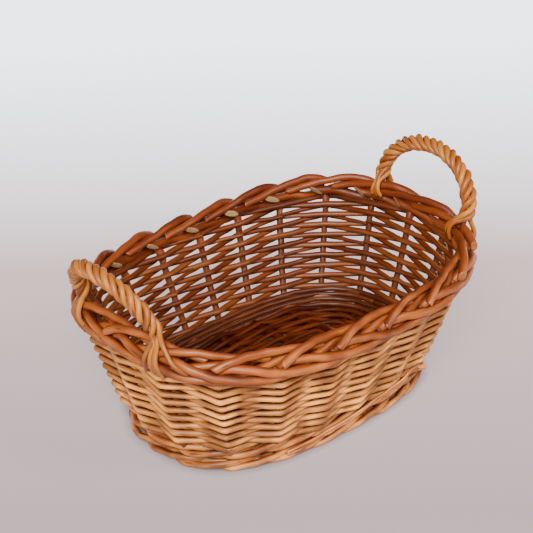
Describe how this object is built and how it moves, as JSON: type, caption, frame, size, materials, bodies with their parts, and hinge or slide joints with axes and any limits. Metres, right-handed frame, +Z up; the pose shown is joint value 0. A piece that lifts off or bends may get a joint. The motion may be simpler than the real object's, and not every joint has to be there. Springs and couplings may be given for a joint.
{
  "type": "woven fruit basket",
  "caption": "Oval woven willow basket with flared sides, a thick rolled border, a ringed foot and a fixed roped bow handle standing at each end.",
  "frame": {"origin": "centre of the bounding box in plan, on the plane the foot stands on", "axes": "+X along the basket's length towards the lower, wider handle; +Y across the basket; +Z up"},
  "size_m": [0.3274, 0.226, 0.1711],
  "materials": {
    "siding_willow": "satin",
    "stake_willow": "satin",
    "border_willow": "satin",
    "foot_willow": "satin",
    "base_willow": "satin",
    "base_stick_willow": "satin",
    "bow_willow": "satin",
    "rope_willow": "satin"
  },
  "bodies": {
    "root": {"base_cross_stick_1": "base_stick_willow", "base_cross_stick_2": "base_stick_willow", "base_cross_stick_3": "base_stick_willow", "base_cross_stick_4": "base_stick_willow", "base_cross_stick_5": "base_stick_willow", "base_long_stick_1": "base_stick_willow", "base_long_stick_2": "base_stick_willow", "base_long_stick_3": "base_stick_willow", "base_weave": "base_willow", "border_inner_rods": "border_willow", "border_outer_rods": "border_willow", "border_top_rods": "border_willow", "foot_wale": "foot_willow", "handle_left_bow": "bow_willow", "handle_left_rope": "rope_willow", "handle_right_bow": "bow_willow", "handle_right_rope": "rope_willow", "siding_course_01": "siding_willow", "siding_course_02": "siding_willow", "siding_course_03": "siding_willow", "siding_course_04": "siding_willow", "siding_course_05": "siding_willow", "siding_course_06": "siding_willow", "siding_course_07": "siding_willow", "siding_course_08": "siding_willow", "siding_course_09": "siding_willow", "siding_course_10": "siding_willow", "siding_course_11": "siding_willow", "siding_course_12": "siding_willow", "siding_course_13": "siding_willow", "siding_course_14": "siding_willow", "siding_course_15": "siding_willow", "siding_course_16": "siding_willow", "siding_course_17": "siding_willow", "siding_course_18": "siding_willow", "siding_course_19": "siding_willow", "siding_course_20": "siding_willow", "siding_course_21": "siding_willow", "stake_01": "stake_willow", "stake_02": "stake_willow", "stake_03": "stake_willow", "stake_04": "stake_willow", "stake_05": "stake_willow", "stake_06": "stake_willow", "stake_07": "stake_willow", "stake_08": "stake_willow", "stake_09": "stake_willow", "stake_10": "stake_willow", "stake_11": "stake_willow", "stake_12": "stake_willow", "stake_13": "stake_willow", "stake_14": "stake_willow", "stake_15": "stake_willow", "stake_16": "stake_willow", "stake_17": "stake_willow", "stake_18": "stake_willow", "stake_19": "stake_willow", "stake_20": "stake_willow"}
  },
  "joints": []
}
